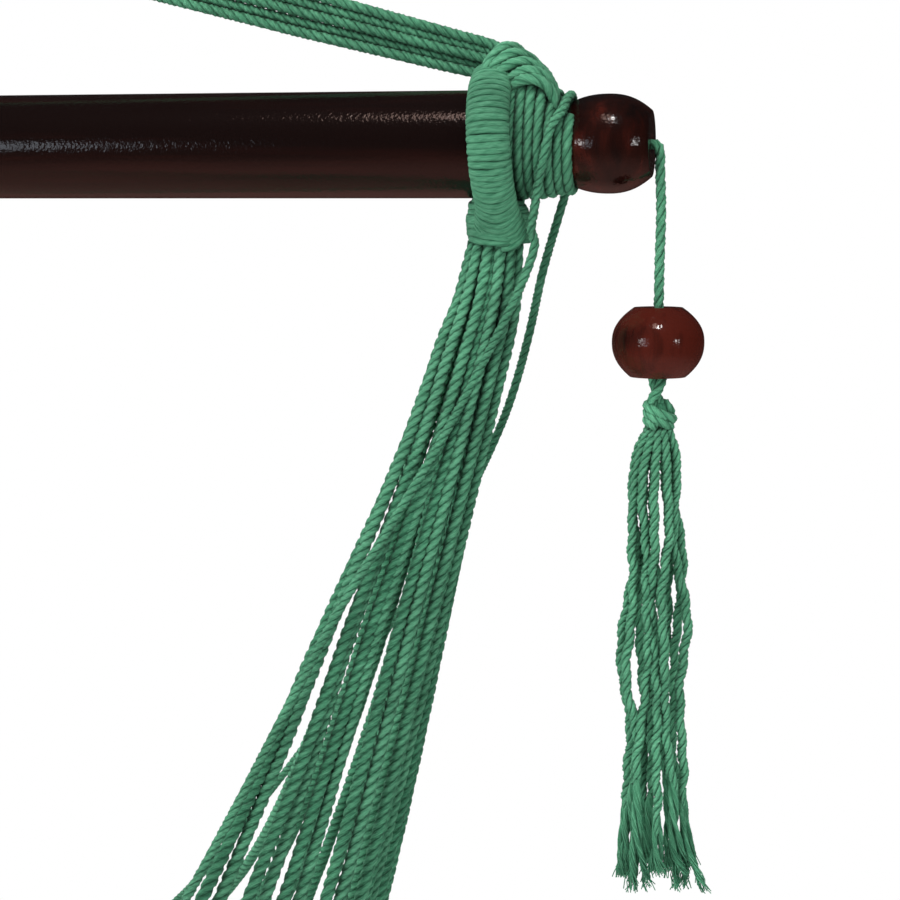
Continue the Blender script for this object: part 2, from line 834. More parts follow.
@dataclass(frozen=True)
class SpreaderBar:
    """The turned spreader bar, with a neck and a tenon at each end, and the beads on its tenons."""

    face_x: float = 508.0
    radius: float = 16.0
    shoulder_x: float = 465.85
    shoulder_rounding: float = 1.4
    shoulder_neck_radius: float = 13.2
    neck_end_x: float = 482.65
    end_neck_radius: float = 10.2
    tenon_radius: float = 6.0
    tenon_length: float = 13.5
    hole_radius: float = 2.5
    hole_depth: float = 30.0
    bead_x: float = 483.0
    bead_radius: float = 14.65
    bead_faces: tuple[float, float] = (11.7, 9.8)
    socket_radius: float = 6.45
    socket_depth: float = 14.2

    def build(self, palette: Palette) -> None:
        """Make the bar and its two beads.

        Args:
            palette: Every finish of the chair.
        """
        bar = lathe("turned_bar", self.bar_profile(), (0, 0, 0), X_AXIS)
        settle(bar, "frame", palette.bar, "spreader_bar")
        for side in Side:
            centre = mirror((self.bead_x, 0, 0), side)
            axis = side.value * X_AXIS
            bead = lathe(f"end_bead_turned_{side.label}", self.end_bead_profile(), centre, axis)
            settle(bead, "frame", palette.bead, f"end_bead_{side.label}")

    def bar_profile(self) -> list[tuple[float, float]]:
        """Outline the bar from end to end: rounded shoulders, tapered necks and drilled tenons.

        Returns:
            Pairs of distance along the bar and radius.
        """
        tenon_end = self.neck_end_x + self.tenon_length
        hole_end = tenon_end - self.hole_depth
        rounding = [
            (self.shoulder_x - self.shoulder_rounding * (1 - math.sin(a)),
             self.radius - self.shoulder_rounding * (1 - math.cos(a)))
            for a in np.linspace(0, math.pi / 2, 6)
        ]
        half = [
            *rounding,
            (self.shoulder_x, self.shoulder_neck_radius),
            (self.neck_end_x, self.end_neck_radius),
            (self.neck_end_x, self.tenon_radius),
            (tenon_end, self.tenon_radius),
            (tenon_end, self.hole_radius),
            (hole_end, self.hole_radius),
            (hole_end, 0.0),
        ]
        return [(-along, radius) for along, radius in reversed(half)] + half

    def end_bead_profile(self) -> list[tuple[float, float]]:
        """Outline an end bead: the barrel, with a socket for the tenon at its inner end.

        Returns:
            Pairs of distance along the bore and radius, in a closed round.
        """
        barrel = bead_profile(self.face_x - self.bead_x, self.bead_radius, *self.bead_faces, self.hole_radius)
        return [
            *barrel[:-3],
            (self.socket_depth, self.hole_radius),
            (self.socket_depth, self.socket_radius),
            (0.0, self.socket_radius),
            barrel[-1],
        ]


@dataclass(frozen=True)
class SuspensionRopes:
    """The ropes over the bar, from one hitch through the hanging loop to the other."""

    circle: float = 3.0
    loop_radius: float = 24.0
    loop_centre: float = 208.0
    leg_spacing: float = 4.8
    neck_top: float = 172.0
    neck_bottom: float = 150.0
    bend_radius: float = 9.0
    hitch: tuple[float, float, float] = (472.5, 18.0, 21.6)
    loop_points: int = 21
    loop_winding: Winding = Winding(84, (5.9, 5.9), (0.98, 0.7), seed=7)
    neck_winding: Winding = Winding(11, (11.4, 6.4), (1.1, 0.8), seed=9)
    neck_twine_top: float = 170.0
    neck_twine_length: float = 18.0

    def line(self) -> tuple[np.ndarray, np.ndarray]:
        """Follow the ropes' middle line from the hanging loop's top to the right-hand hitch.

        It is an arc, an S-bend into the neck, a bend out of it, a straight run and a turn downwards.

        Returns:
            Points along it, and the direction out of the loop at each.
        """
        points, outs = [], []

        def add(x: float, z: float, slope: float, y: float = 0.0) -> None:
            """Note a point and the direction out of the loop there."""
            points.append((x, y, z))
            outs.append((math.cos(slope), 0.0, math.sin(slope)))

        for angle in np.linspace(math.pi / 2, 0, 13):
            rise = self.loop_radius * math.sin(angle)
            add(self.loop_radius * math.cos(angle), self.loop_centre + rise, angle)
        height = self.loop_centre - self.neck_top
        inset = self.loop_radius - self.leg_spacing
        for t in np.linspace(0, 1, 9)[1:]:
            lean = math.atan(inset * 6 * t * (1 - t) / height)
            add(self.loop_radius - inset * t * t * (3 - 2 * t), self.loop_centre - height * t, -lean)
        add(self.leg_spacing, self.neck_bottom, 0.0)
        fall = self.neck_bottom - self.bend_radius - self.hitch[2]
        slope = math.atan2(fall, self.hitch[0] - self.leg_spacing)
        for turn in np.linspace(0, math.pi / 2 - slope, 7)[1:]:
            add(self.leg_spacing + self.bend_radius * (1 - math.cos(turn)),
                self.neck_bottom - self.bend_radius * math.sin(turn), turn)
        start, stop = np.array(points[-1]), np.array(self.hitch)
        for share in np.linspace(0, 0.965, 38)[1:]:
            x, y, z = start + (stop - start) * share
            add(x, z, turn, y)
        for x, y, z, fall in ((463.5, 17.2, 22.4, 0.35), (468.2, 16.4, 17.6, 0.85), (470.6, 14.6, 11.4, 1.2)):
            add(x, z, turn - fall, y)
        return np.array(points), np.array(outs)

    def whole_line(self, count: int | None = None) -> tuple[np.ndarray, ...]:
        """Follow both halves of the line, each of so many points or all of them, from left to right."""
        return tuple(
            np.vstack([mirror(half[:count][:0:-1], Side.LEFT), half[:count]]) for half in self.line())

    def build(self, palette: Palette) -> None:
        """Make the five ropes: a round bundle in the loop that spreads into a flat band over the bar.

        Args:
            palette: Every finish of the chair.
        """
        whole, outs = self.whole_line()
        reach = np.abs(whole[:, 0])
        spread = np.clip((reach - 40) / 110, 0, 1)[:, None]
        gap = np.interp(reach, [150, 340, 400, 455, 466, 471], [2.6, 3.1, 3.0, 2.4, 1.9, 1.5])[:, None]
        ropes = TubeMesh()
        for place, degrees in enumerate((-144, 144, -72, 72, 0)):
            turn = math.radians(degrees)
            ring = self.circle * (math.cos(turn) * outs + math.sin(turn) * Y_AXIS)
            depth = (0.7 if place % 2 else -0.7) + 0.35 * np.sin(reach / 37 + 2 * place)[:, None]
            band = (place - 2) * gap * outs + depth * Y_AXIS
            path = smooth_path(whole + ring * (1 - spread) + band * spread, SUSPENSION_CORD.step)
            ropes.rope(path, SUSPENSION_CORD, phase=place, hint=Y_AXIS)
        nodes = [f"suspension_rope_{i}" for i in range(1, 6)]
        ropes.place("suspension_ropes", "frame", palette.cord, *nodes)

    def build_whippings(self, palette: Palette) -> None:
        """Make the whippings of the hanging loop and of its neck.

        Args:
            palette: Every finish of the chair.
        """
        whole, outs = self.whole_line(self.loop_points)
        marks = np.linspace(0, 1, len(whole))

        def loop(share: np.ndarray) -> tuple:
            """Follow the hanging loop from its left foot to its right one."""
            return sample(share, marks, whole), unit(sample(share, marks, outs)), Y_AXIS

        def neck(share: np.ndarray) -> tuple:
            """Follow the neck downwards."""
            height = self.neck_twine_top - self.neck_twine_length * share
            return np.stack([0 * share, 0 * share, height], axis=-1), X_AXIS, Y_AXIS

        tubes = TubeMesh()
        tubes.wind(loop, self.loop_winding)
        tubes.place("hanging_loop_twine", "frame", palette.twine, "hanging_loop_whipping")
        tubes = TubeMesh()
        tubes.wind(neck, self.neck_winding)
        tubes.place("neck_twine", "frame", palette.twine, "neck_whipping")


@dataclass(frozen=True)
class SeatShape:
    """The hanging surface of the seat, between the two throats."""

    throat_x: float = 461.0
    throat_depth: float = 36.0
    rear_sag: float = 500.0
    front_sag: float = 565.0
    middle_sag: float = 912.0
    rear_tilt: float = 40.65
    front_tilt: float = -39.35
    tilt_share: float = 0.4
    net_half_edge: float = 320.0
    net_half_middle: float = 470.0
    rows: int = 22
    columns: int = 34
    crowding: float = 0.4
    edge_offset: float = 6.8

    def crowded(self, share: float) -> float:
        """Move a row's place towards the nearer edge of the seat, where rows are closer together."""
        return share - self.crowding * math.sin(FULL_TURN * share) / FULL_TURN

    def point(self, w: np.ndarray | float, v: float) -> np.ndarray:
        """Give points of the surface: w from -1 at the left to 1 at the right, v from rear to front."""
        cord = HangingCord(v)
        return cord.at(w * cord.net_half)

    def edge_shift(self, w: np.ndarray | float, v: float) -> np.ndarray:
        """Give the way from the net's rear or front row, v of 0 or 1, out to the edge cord."""
        across = unit(self.point(w, min(v + 0.002, 1)) - self.point(w, max(v - 0.002, 0)))
        return (-1 if v < 0.5 else 1) * self.edge_offset * across

    @staticmethod
    def front_bow(path: np.ndarray) -> np.ndarray:
        """Give the sideways bow of the seat's front cords at each point of a path."""
        drop = -path[:, 2]
        return -3.3 * np.exp(-(((drop - 140) / 36) ** 2)) + 2.6 * np.exp(-(((drop - 230) / 26) ** 2))


SEAT = SeatShape()


class HangingCord:
    """The curve on which one of the seat's cords hangs: a catenary that swings out as it sags."""

    def __init__(self, share: float) -> None:
        """Find the curve of a cord.

        Args:
            share: The cord's place from the seat's rear edge, 0, to its front edge, 1.
        """
        bulge = math.sin(math.pi * share)
        edge_sag = SEAT.rear_sag + (SEAT.front_sag - SEAT.rear_sag) * share
        middle = (SEAT.rear_sag + SEAT.front_sag) / 2
        self.sag = edge_sag + (SEAT.middle_sag - middle) * bulge
        self.tilt = math.radians(SEAT.rear_tilt + (SEAT.front_tilt - SEAT.rear_tilt) * share)
        self.scale = self.catenary_scale(SEAT.throat_x, self.sag)
        self.half_length = self.scale * math.sinh(SEAT.throat_x / self.scale)
        self.net_half = SEAT.net_half_edge + (SEAT.net_half_middle - SEAT.net_half_edge) * bulge

    @staticmethod
    def catenary_scale(half_span: float, sag: float) -> float:
        """Find a catenary's scale by halving.

        Args:
            half_span: Half the distance between its ends.
            sag: How far its middle hangs below them.

        Returns:
            The scale, which is also the radius of its bend at the middle.
        """
        low, high = sag / 100, half_span**2 / sag
        for _ in range(60):
            middle = (low + high) / 2
            if middle * (math.cosh(half_span / middle) - 1) > sag:
                low = middle
            else:
                high = middle
        return (low + high) / 2

    def at(self, length: np.ndarray | float) -> np.ndarray:
        """Give points on the curve.

        Args:
            length: Distances along the cord from its middle, to the right.

        Returns:
            The points, in the last axis.
        """
        x = self.scale * np.arcsinh(np.asarray(length, float) / self.scale)
        depth = self.scale * (math.cosh(SEAT.throat_x / self.scale) - np.cosh(x / self.scale))
        angle = self.tilt * (SEAT.tilt_share + (1 - SEAT.tilt_share) * depth / self.sag)
        return np.stack([x, depth * np.sin(angle), -SEAT.throat_depth - depth * np.cos(angle)], axis=-1)

    def down_arm(self, share: np.ndarray | float) -> np.ndarray:
        """Give the points at shares of the way from the throat, 0, to the net, 1."""
        return self.at(self.half_length - share * (self.half_length - self.net_half))


@dataclass(frozen=True)
class EndLoops:
    """The seat's whipped end loops, which ride on the bar, and the throat whippings under them."""

    loop_x: float = 461.7
    loop_radius: float = 20.7
    whip_x: float = 463.2
    foot: tuple[tuple[float, float], ...] = ((-4.6, -29.0), (-6.4, -26.2), (-9.8, -22.0))
    loop_winding: Winding = Winding(76, (3.15, 5.75), (1.18, 0.72), seed=3, drape=0.03)
    throat_winding: Winding = Winding(9, (9.1, 10.3), (1.35, 0.78), seed=5, start=0.6)
    step: float = 0.8

    def core(self, share: np.ndarray, side: Side) -> tuple[np.ndarray, np.ndarray, np.ndarray]:
        """Follow an end loop from its front leg's foot over the bar to its rear leg's foot.

        Args:
            share: Places along it, from 0 to 1.
            side: Which end it is at.

        Returns:
            The points, the direction away from the bar and the direction along the bar, which grows
            longer where the legs spread into the throat.
        """
        arc = [(self.loop_radius * math.sin(math.radians(a)), self.loop_radius * math.cos(math.radians(a)))
               for a in range(-125, 126, 25)]
        outline = np.array([*self.foot, *arc, *((-y, z) for y, z in reversed(self.foot))])
        path = smooth_path(np.column_stack([np.zeros(len(outline)), outline]), self.step)
        marks = np.linspace(0, 1, len(path))
        point = sample(share, marks, path)
        away = unit(sample(share, marks, np.cross(X_AXIS, unit(np.gradient(path, axis=0)))))
        lean = 1.15 * (1 - np.clip(point[:, 2] / self.loop_radius, -1.5, 1))
        lean = lean - 2.8 * np.clip(point[:, 1] / 9, 0, 1) * np.clip((-4 - point[:, 2]) / 14, 0, 1)
        point[:, 0] = side.value * (self.loop_x + lean)
        spread = 1 + 0.42 * np.clip((-17.0 - point[:, 2]) / 10.5, 0, 1) ** 1.3
        return point, away, spread[:, None] * X_AXIS

    def throat(self, share: np.ndarray, side: Side) -> tuple[np.ndarray, np.ndarray, np.ndarray]:
        """Follow a throat downwards: a barrel whose turns droop at the sides.

        Args:
            share: Places down it, from 0 to 1.
            side: Which end it is at.

        Returns:
            The points and the two directions across it, as long as the barrel is wide there.
        """
        turn = self.throat_winding.start + FULL_TURN * self.throat_winding.turns * share
        droop = 0.9 * np.sin(turn) + 0.1 * np.cos(turn)
        barrel = np.interp(share, [0.0, 0.15, 0.4, 0.85, 1.0], [0.70, 0.86, 0.97, 1.0, 0.93])[:, None]
        shift = -0.5 - 1.1 * (1 - share)
        point = np.stack([self.whip_x + shift, 0 * share, -16.2 - 12.2 * share + droop], axis=-1)
        return mirror(point, side), side.value * barrel * X_AXIS, barrel * Y_AXIS

    def build(self, palette: Palette) -> None:
        """Wind the loops and the throats.

        Args:
            palette: Every finish of the chair.
        """
        for side in Side:
            name = side.label
            tubes = TubeMesh()
            tubes.wind(lambda share: self.core(share, side), self.loop_winding)
            tubes.place(f"end_loop_twine_{name}", "seat", palette.twine, f"end_loop_whipping_{name}")
            tubes = TubeMesh()
            tubes.wind(lambda share: self.throat(share, side), self.throat_winding)
            column = mirror([(self.whip_x - 0.5, 0, z) for z in (-18, -21, -24, -27, -28.5)], side)
            column = smooth_path(column, self.step)
            radius = np.interp(column[:, 2], [-29, -26, -21, -18], [7.6, 8.5, 7.8, 6.6])
            tubes.round_tube(column, radius, sides=32, hint=Y_AXIS, crest=0.3)
            tubes.place(f"throat_twine_{name}", "seat", palette.twine, f"throat_whipping_{name}")


@dataclass(frozen=True)
class ArmCords:
    """The cords that gather the net into the end loops, and the cores of those loops.

    Attributes:
        count: How many cords an arm has.
        loops: The end loops.
        bundle: The bundle's half sizes under the throat, along and across the bar.
        bundle_shift: How far its middle lies outwards.
        fan_depth: How far below the throat the bundle has spread into the fan.
        ring_shares: How far out four neighbouring cords lie in the bundle.
        tones: Factors on the crest shades of four neighbouring cords.
        core_radius: The radius of the loops' core tubes.
        core_shifts: Where the core tubes lie along the bar.
        seed: The seed of the cords' wander.
    """

    count: int = 24
    loops: EndLoops = EndLoops()
    bundle: tuple[float, float] = (9.2, 7.8)
    bundle_shift: float = 0.6
    fan_depth: float = 215.0
    ring_shares: tuple[float, ...] = (1.0, 0.76, 0.95, 0.55)
    tones: tuple[float, ...] = (1.12, 0.78, 1.0, 0.66)
    core_radius: float = 2.2
    core_shifts: tuple[float, ...] = (-2.6, 0.0, 2.6)
    seed: int = 11

    def paths(self, side: Side) -> list[np.ndarray]:
        """Route the arm cords of one side from the throat to the net's end knots.

        The cords fill an oval bundle under the throat, from the rear ones at its left round by its
        right to the front ones, and every other cord lies deeper in it. Further down they spread
        into a fan, each with a small wander of sines.

        Args:
            side: Which arm it is.

        Returns:
            The control points of each cord.
        """
        routes = []
        shares = np.linspace(0, 1, 20) ** 1.3
        random = np.random.default_rng(self.seed)
        for k in range(self.count):
            own = SEAT.crowded((k + 0.5) / self.count)
            knot = SEAT.crowded(2 * (k // 2) / SEAT.rows)
            merge = np.clip((shares - 0.72) / 0.28, 0, 1)
            places = own + (knot - own) * merge * merge * (3 - 2 * merge)
            path = np.array([HangingCord(place).down_arm(t) for place, t in zip(places, shares)])
            depth = -SEAT.throat_depth - path[:, 2]
            ring = self.ring_shares[k % 4] if 0 < k < self.count - 1 else 1.0
            bearing = math.radians(180 - 360 * (k + 0.5) / self.count)
            fade = np.clip(1 - depth / self.fan_depth, 0, 1) * (0.74 + 0.26 * np.clip(depth / 16, 0, 1))
            along, across = (half * ring for half in self.bundle)
            out = along * math.cos(bearing) + self.bundle_shift
            offset = np.array([out, across * math.sin(bearing), 0.0])
            sway = random.uniform(-1, 1, 4)
            bend = np.sin(math.pi * np.clip(shares * 1.5, 0, 1))
            wander = np.stack([
                bend * (1.5 * sway[0] + 0.9 * np.sin(9 * shares + 3 * sway[1])),
                bend * (1.8 * sway[2] + 0.9 * np.sin(8 * shares + 3 * sway[3])),
                np.where(shares < 0.01, 7.0, 0.0),
            ], axis=1)
            route = path + fade[:, None] * offset + wander
            route[:, 0] += SEAT.front_bow(route) * 0.8 * max(0.0, 1 - (self.count - 1 - k) / 10)
            routes.append(mirror(route, side))
        return routes

    def build(self, palette: Palette) -> None:
        """Make the cords in three pieces a side, the loops' cores with the middle one.

        Args:
            palette: Every finish of the chair.
        """
        third = self.count // 3
        for side in Side:
            routes = self.paths(side)
            for part, label in enumerate(("rear", "middle", "front")):
                tubes = TubeMesh()
                for k, route in enumerate(routes[part * third : (part + 1) * third]):
                    path = smooth_path(route, ARM_CORD.step)
                    thicker = np.interp(-path[:, 2], [100, 200], [1.0, 1.08])
                    tubes.rope(path, ARM_CORD, phase=1.3 * k, scale=thicker, tone=self.tones[k % 4])
                if label == "middle":
                    point, out, _ = self.loops.core(np.linspace(0.06, 0.94, 60), side)
                    for shift in self.core_shifts:
                        tubes.round_tube(
                            point + shift * X_AXIS, self.core_radius, sides=10, hint=out, crest=0.3)
                name = f"arm_cords_{label}_{side.label}"
                tubes.place(name, "seat", palette.cord, f"arm_cords_{side.label}")


@dataclass(frozen=True)
class SeatNet:
    """The seat's net: strands that cross, over and under, at small wrapped knots."""

    strand_radius: float = 1.5
    lift: float = 1.1
    knot_half: float = 4.2

    def build(self, palette: Palette) -> None:
        """Make the strands, which zigzag over the seat's rows, and a short fat rope at each crossing.

        Args:
            palette: Every finish of the chair.
        """
        rows, columns = SEAT.rows, SEAT.columns
        w = 2 * np.arange(columns + 1) / columns - 1
        points = np.stack([SEAT.point(w, SEAT.crowded(j / rows)) for j in range(rows + 1)], axis=1)
        along = unit(np.gradient(points, axis=0))
        out = unit(np.cross(unit(np.gradient(points, axis=1)), along))
        strands = TubeMesh()
        for start in range(0, rows + 1, 2):
            for step in (1, -1):
                if 0 <= start + step <= rows:
                    route = self.zigzag(start, step, points, out)
                    strands.round_tube(smooth_path(route, 6.0), self.strand_radius, sides=7)
        strands.place("net_strands", "seat", palette.net, "seat_net")
        knots = TubeMesh()
        place = np.linspace(-1, 1, 8)
        for i in range(columns + 1):
            for j in range(i % 2, rows + 1, 2):
                path = points[i, j] + self.knot_half * place[:, None] * along[i, j]
                knots.rope(path, NET_KNOT, phase=i + j, hint=out[i, j], scale=1 - 0.35 * place**2)
        knots.place("net_knots", "seat", palette.cord, "seat_net")

    def zigzag(self, row: int, step: int, points: np.ndarray, out: np.ndarray) -> list[np.ndarray]:
        """Follow a strand from the net's left end to its right one.

        Args:
            row: The row that it starts in.
            step: Whether it starts towards the front, 1, or the rear, -1.
            points: The crossings, columns by rows by three.
            out: The direction out of the net at each.

        Returns:
            The strand's points, one for each column.
        """
        route = []
        for i in range(len(points)):
            lift = self.lift * step * (1 if (i // 2) % 2 else -1)
            route.append(points[i, row] + lift * out[i, row])
            if not 0 <= row + step <= SEAT.rows:
                step = -step
            row += step
        return route


@dataclass(frozen=True)
class EdgeCord:
    """The cord that borders the net and goes over both ends of the bar."""

    neck_x: float = 483.6
    neck_reach: float = 13.9

    def route(self) -> np.ndarray:
        """Route the right half, from the rear border over the bar's neck to the front one.

        Returns:
            The control points.
        """
        angle = np.linspace(-4, 228, 22)
        x = np.interp(angle, [0, 60, 110, 148, 161, 178, 194, 212, 231],
                      [self.neck_x, self.neck_x, 484.3, self.neck_x, 481, 479.6, 478.6, 477.2, 475.6])
        reach = np.interp(angle, [0, 60, 110, 150, 200, 228], [self.neck_reach, 13.6, 14.6, 17.2, 17.9, 18.0])
        over = np.column_stack([x, reach * np.cos(np.radians(angle)), reach * np.sin(np.radians(angle))])
        fall = [(475.0, -12.4, -20.0), (473.9, -11.2, -25.0)]
        rear = self.arm(0, (self.neck_x - SEAT.throat_x, self.neck_reach, SEAT.throat_depth - 3.2))
        rear[:, 0] += np.interp(-rear[:, 2], [3, 34, 50, 67, 80, 91, 115, 135, 165, 205, 255],
                                [0, 4.5, 8, 12.2, 14, 15, 15, 13.6, 10, 5, 0])
        front = self.arm(1, (12.2, -9.6, 5.0))
        front[:, 0] += SEAT.front_bow(front) + 2.0 * np.exp(-(((-front[:, 2] - 46) / 20) ** 2))
        front[:, 1] += 9.0 * np.exp(-(((-front[:, 2] - 78) / 34) ** 2))
        return np.vstack([self.border(0), rear[::-1][1:], over, fall, front, self.border(1)[::-1][1:]])

    @staticmethod
    def border(v: float) -> np.ndarray:
        """Follow the net's rear or front border, v of 0 or 1, from its middle to its right-hand end."""
        w = np.linspace(0, 1, 14)
        return SEAT.point(w, v) + SEAT.edge_shift(w, v)

    @staticmethod
    def arm(v: float, top: tuple[float, float, float]) -> np.ndarray:
        """Follow the right arm down to the net.

        Args:
            v: 0 for the rear and 1 for the front.
            top: How far the cord's top lies from the throat, which fades out on the way down.

        Returns:
            Points from the bar to the net.
        """
        t = (np.linspace(0, 1, 16) ** 1.2)[:, None]
        path = HangingCord(v).down_arm(t[:, 0])
        return path + np.array(top) * (1 - t) ** 2 + SEAT.edge_shift(1, v) * (1 - (1 - t) ** 4)

    def build(self, palette: Palette) -> None:
        """Make both halves.

        Args:
            palette: Every finish of the chair.
        """
        route = self.route()
        tubes = TubeMesh()
        for side in Side:
            tubes.rope(smooth_path(mirror(route, side), EDGE_CORD.step), EDGE_CORD)
        tubes.place("border_cord", "seat", palette.cord, "edge_cord")


@dataclass(frozen=True)
class NeckTurns:
    """Turns of the lashing round the right-hand neck: a spiral whose upper half rises over the ropes.

    Attributes:
        start_x: Where it starts along the bar.
        pitch: How far a turn moves along the bar.
        turns: How many turns it makes.
        start: Its angle at the start, in radians.
        radii: Its radius at each mark.
        heights: Its top's height at each mark, as a share of the radius.
    """

    start_x: float
    pitch: float
    turns: float
    start: float
    radii: tuple[float, ...]
    heights: tuple[float, ...]

    MARKS = (468.0, 474.0, 478.0, 482.5, 485.5)

    def route(self) -> np.ndarray:
        """Follow the spiral, whose top is blunt where it rises well over the ropes.

        Returns:
            Points along it.
        """
        turn = np.arange(0, self.turns + 1e-6, 1 / 20)
        x = self.start_x + self.pitch * turn
        radius, height = np.interp(x, self.MARKS, self.radii), np.interp(x, self.MARKS, self.heights)
        angle = self.start + FULL_TURN * turn
        up, ahead = np.sin(angle), np.cos(angle)
        blunt = np.copysign(np.abs(ahead) ** np.where(height < 1.1, 1.0, 0.6), ahead)
        raised = up > 0
        return np.column_stack([
            x, -radius * np.where(raised, blunt, ahead), radius * np.where(raised, up * height, up)])


@dataclass(frozen=True)
class Lashings:
    """The lashings that hold the suspension ropes on the bar's necks.

    Attributes:
        turns: The outer turns and the ones beneath.
        folds: The control points of the hitch's folds over the ropes.
    """

    turns: tuple[NeckTurns, ...] = (
        NeckTurns(467.3, 2.83, 6.3, -1.2, (14.9, 14.9, 14.5, 13.4, 13.7), (1.32, 1.32, 1.14, 0.93, 0.88)),
        NeckTurns(467.4, 3.1, 5.2, 1.0, (14.4, 13.6, 12.7, 11.9, 12.0), (1.2, 1.2, 1.1, 1.0, 1.0)),
    )
    folds: tuple = (
        ((459.2, -7, 15.5), (460, -9, 21.4), (461.9, -8, 25.2), (464.3, -5, 28), (466.4, 0, 28.4),
         (466.5, 6, 28.2), (466, 13, 28), (465.5, 20, 25.5), (466, 23.5, 19), (467.5, 20, 12.5),
         (469, 13, 10)),
        ((461, -8, 15.5), (461.9, -9.5, 21.1), (465.1, -9, 24.8), (468.6, -7, 26.3), (471.4, -3, 25.2),
         (472, 4, 24.2), (471.2, 12, 23), (470.6, 19.5, 19.5), (471, 20.5, 13), (472, 14, 9)),
        ((462.5, -8.8, 14.5), (463.5, -10, 19.8), (466.7, -10, 22.4), (470.7, -9, 23.6), (474.5, -7, 22.2),
         (477.4, -4.5, 18.8), (478.8, -2, 14.5), (479.4, 1, 10.5)),
        ((468.5, -1, 24.5), (471.5, 0, 24.6), (474.8, 1.5, 21.8), (477.5, 2, 18), (478.8, 3, 13),
         (479.2, 4, 9)),
        ((466.5, -9, 14), (467.8, -11, 18.3), (470.4, -12, 20.2), (474, -12.5, 20.8), (477.4, -11.5, 19.3),
         (479.4, -9.5, 16.5), (480.6, -8, 13), (481, -6, 9)),
        ((467.5, -10, 12.5), (468.7, -11.8, 16.3), (471.4, -13.2, 18.2), (475, -13.6, 18.4),
         (478.1, -12.6, 17), (479.8, -10.8, 14.2), (480.9, -9.8, 11), (481.2, -8, 7)),
        ((464, -4, 19), (467, -4, 21), (471, -4, 20), (475, -3, 17.5), (478, -2, 13)),
    )

    def build(self, palette: Palette) -> None:
        """Make both lashings.

        Args:
            palette: Every finish of the chair.
        """
        routes = [(turns.route(), LASHING_CORD) for turns in self.turns]
        routes += [(fold, FOLD_CORD) for fold in self.folds]
        for side in Side:
            tubes = TubeMesh()
            for k, (route, lay) in enumerate(routes):
                tubes.rope(smooth_path(mirror(route, side), lay.step), lay, phase=0.9 * k)
            tubes.place(f"lashing_{side.label}", "frame", palette.cord, f"bar_lashing_{side.label}")


